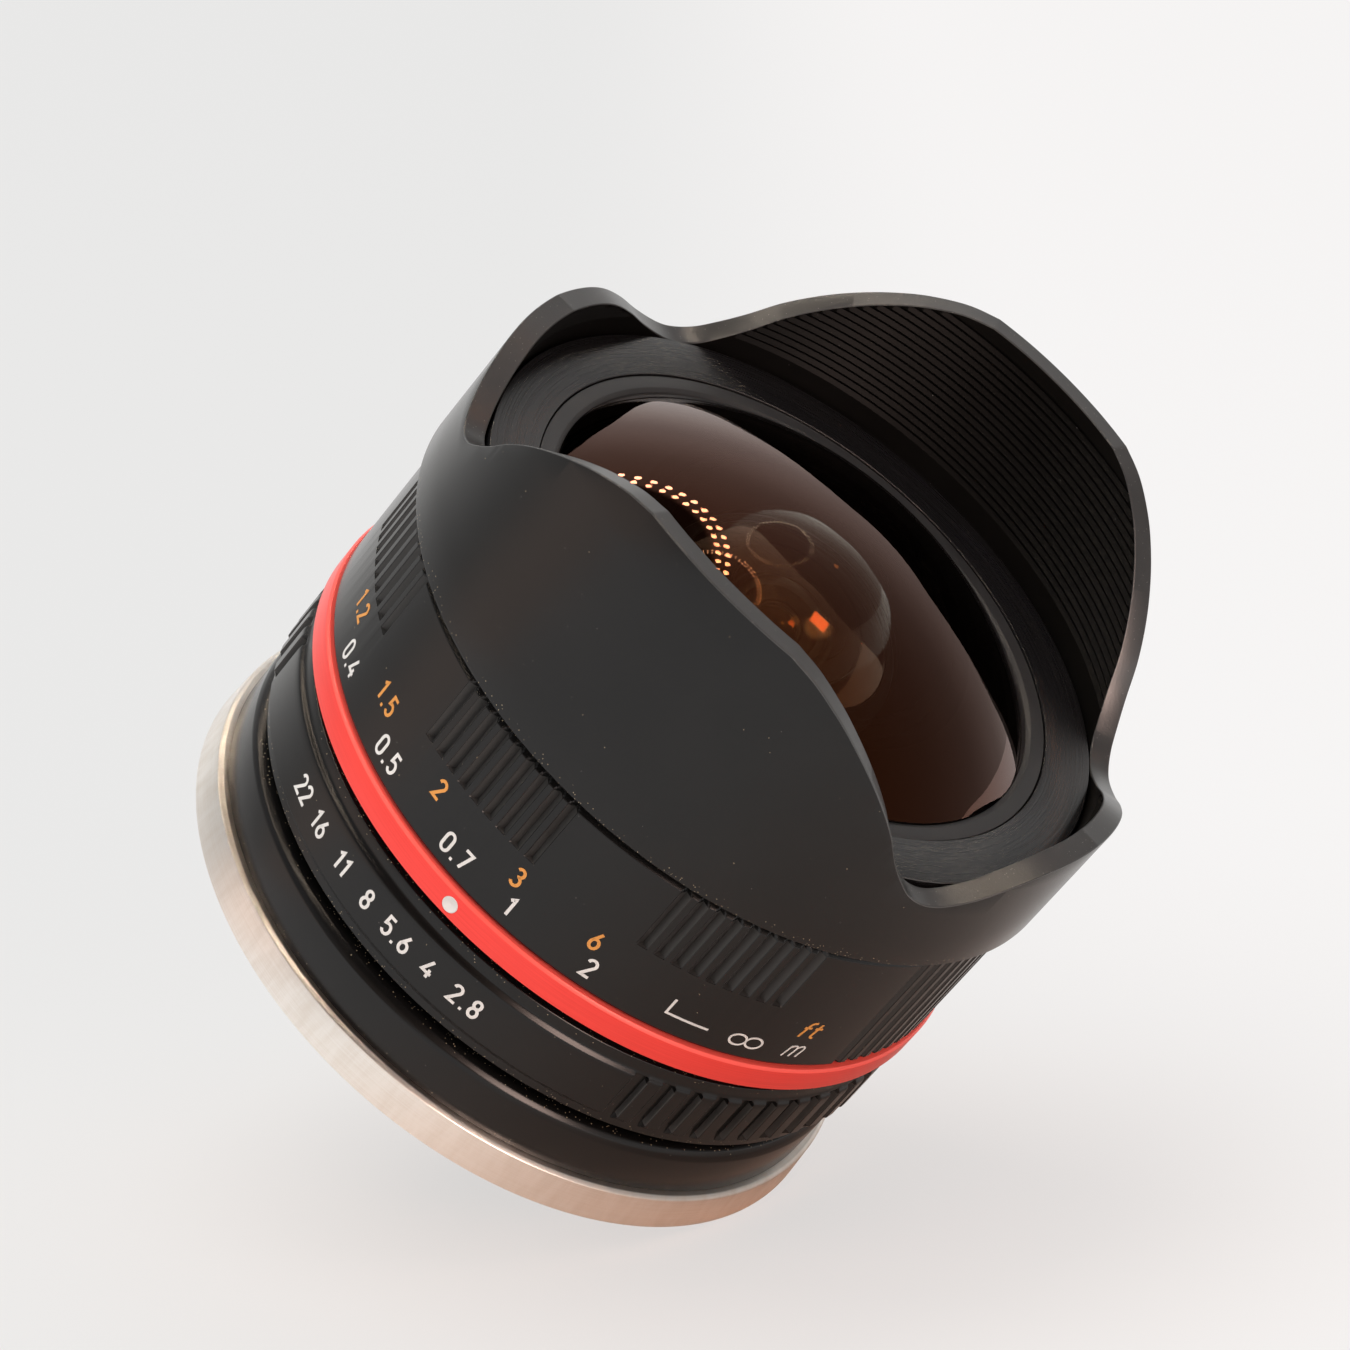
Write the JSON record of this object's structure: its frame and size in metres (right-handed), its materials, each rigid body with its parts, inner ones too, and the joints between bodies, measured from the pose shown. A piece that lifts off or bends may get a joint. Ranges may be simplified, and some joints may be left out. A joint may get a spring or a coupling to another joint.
{
  "type": "fisheye lens",
  "caption": "Manual fisheye camera lens with a petal hood, a domed front element, grooved focus ring, clicking aperture ring with an iris, and a bayonet mount.",
  "frame": {"origin": "centre of the bayonet's seating face, on the optical axis", "axes": "+Z along the optical axis towards the subject, -Y towards the index dot of the rings"},
  "size_m": [0.0618, 0.0616, 0.0637],
  "materials": {
    "black_anodised": "fine satin black anodising",
    "black_blasted": "matt black anodising",
    "mount_chrome": "turned brass with satin chrome plating",
    "baffle_plastic": "matt black moulding",
    "red_anodised": "bright red anodising",
    "white_paint": "white paint in a dimple",
    "red_paint": "red paint in a dimple",
    "brass": "machined brass",
    "steel": "blackened steel",
    "blade_steel": "blued spring steel",
    "coated_glass": "polished glass with an amber coating"
  },
  "bodies": {
    "barrel": {"bayonet_mount": "mount_chrome", "mount_screws": "steel", "rear_baffle": "baffle_plastic", "baffle_screws": "steel", "mount_barrel": "black_anodised", "mount_index_dot": "red_paint", "barrel_screws": "steel", "main_barrel": "black_blasted", "focus_stop_pin": "steel", "click_ball": "steel", "click_spring": "steel", "red_ring": "red_anodised", "index_dot": "white_paint", "hood": "black_anodised", "hood_screws": "steel"},
    "aperture_ring": {"aperture_ring": "black_anodised", "aperture_fork": "steel", "fork_screws": "steel"},
    "focus_ring": {"focus_ring": "black_anodised", "focus_cam_ring": "brass", "cam_ring_screws": "steel"},
    "optics": {"lens_tube": "black_blasted", "front_cell": "black_blasted", "front_cell_screws": "steel", "front_retainer": "black_blasted", "name_ring": "black_anodised", "second_retainer": "black_blasted", "front_spacer": "black_blasted", "front_group_retainer": "black_blasted", "focus_followers": "steel", "iris_housing": "black_blasted", "iris_cover": "black_blasted", "iris_screws": "steel", "rear_cell": "black_blasted", "rear_spacer_front": "black_blasted", "rear_spacer_middle": "black_blasted", "rear_spacer_rear": "black_blasted", "rear_retainer": "black_blasted", "front_element": "coated_glass", "second_element": "coated_glass", "third_element": "coated_glass", "fourth_element": "coated_glass", "fifth_element": "coated_glass", "sixth_element": "coated_glass", "seventh_element": "coated_glass", "eighth_element": "coated_glass", "ninth_element": "coated_glass", "tenth_element": "coated_glass", "rear_element": "coated_glass"},
    "iris_cam": {"iris_cam_ring": "brass", "iris_lever_pin": "steel"},
    "blade_1": {"iris_blade_1": "blade_steel"},
    "blade_2": {"iris_blade_2": "blade_steel"},
    "blade_3": {"iris_blade_3": "blade_steel"},
    "blade_4": {"iris_blade_4": "blade_steel"},
    "blade_5": {"iris_blade_5": "blade_steel"},
    "blade_6": {"iris_blade_6": "blade_steel"}
  },
  "joints": [
    {"name": "aperture_turn", "type": "hinge", "parent": "barrel", "child": "aperture_ring", "pos_m": [0, 0, 0.0136], "axis": [0, 0, 1], "range_deg": [-11, 32.7]},
    {"name": "focus_turn", "type": "hinge", "parent": "barrel", "child": "focus_ring", "pos_m": [0, 0, 0.0275], "axis": [0, 0, 1], "range_deg": [-35.3, 80]},
    {"name": "optics_slide", "type": "slide", "parent": "barrel", "child": "optics", "axis": [0, 0, 1], "range_m": [-0.0000862, 0.0001948]},
    {"name": "iris_turn", "type": "hinge", "parent": "optics", "child": "iris_cam", "pos_m": [0, 0, 0.01845], "axis": [0, 0, 1], "range_deg": [-11.05, 32.75]},
    {"name": "blade_1_swing", "type": "hinge", "parent": "optics", "child": "blade_1", "pos_m": [0.01, 0, 0.0206], "axis": [0, 0, 1], "range_deg": [-6.45, 19.07]},
    {"name": "blade_2_swing", "type": "hinge", "parent": "optics", "child": "blade_2", "pos_m": [0.005, 0.00866, 0.0206], "axis": [0, 0, 1], "range_deg": [-6.45, 19.07]},
    {"name": "blade_3_swing", "type": "hinge", "parent": "optics", "child": "blade_3", "pos_m": [-0.005, 0.00866, 0.0206], "axis": [0, 0, 1], "range_deg": [-6.45, 19.07]},
    {"name": "blade_4_swing", "type": "hinge", "parent": "optics", "child": "blade_4", "pos_m": [-0.01, 0, 0.0206], "axis": [0, 0, 1], "range_deg": [-6.45, 19.07]},
    {"name": "blade_5_swing", "type": "hinge", "parent": "optics", "child": "blade_5", "pos_m": [-0.005, -0.00866, 0.0206], "axis": [0, 0, 1], "range_deg": [-6.45, 19.07]},
    {"name": "blade_6_swing", "type": "hinge", "parent": "optics", "child": "blade_6", "pos_m": [0.005, -0.00866, 0.0206], "axis": [0, 0, 1], "range_deg": [-6.45, 19.07]}
  ],
  "couplings": [
    {"joint": "optics_slide", "follows": "focus_turn", "m_per_rad": 0.00013914},
    {"joint": "iris_turn", "follows": "aperture_turn", "ratio": 1},
    {"joint": "blade_1_swing", "follows": "aperture_turn", "ratio": 0.58165},
    {"joint": "blade_2_swing", "follows": "aperture_turn", "ratio": 0.58165},
    {"joint": "blade_3_swing", "follows": "aperture_turn", "ratio": 0.58165},
    {"joint": "blade_4_swing", "follows": "aperture_turn", "ratio": 0.58165},
    {"joint": "blade_5_swing", "follows": "aperture_turn", "ratio": 0.58165},
    {"joint": "blade_6_swing", "follows": "aperture_turn", "ratio": 0.58165}
  ]
}
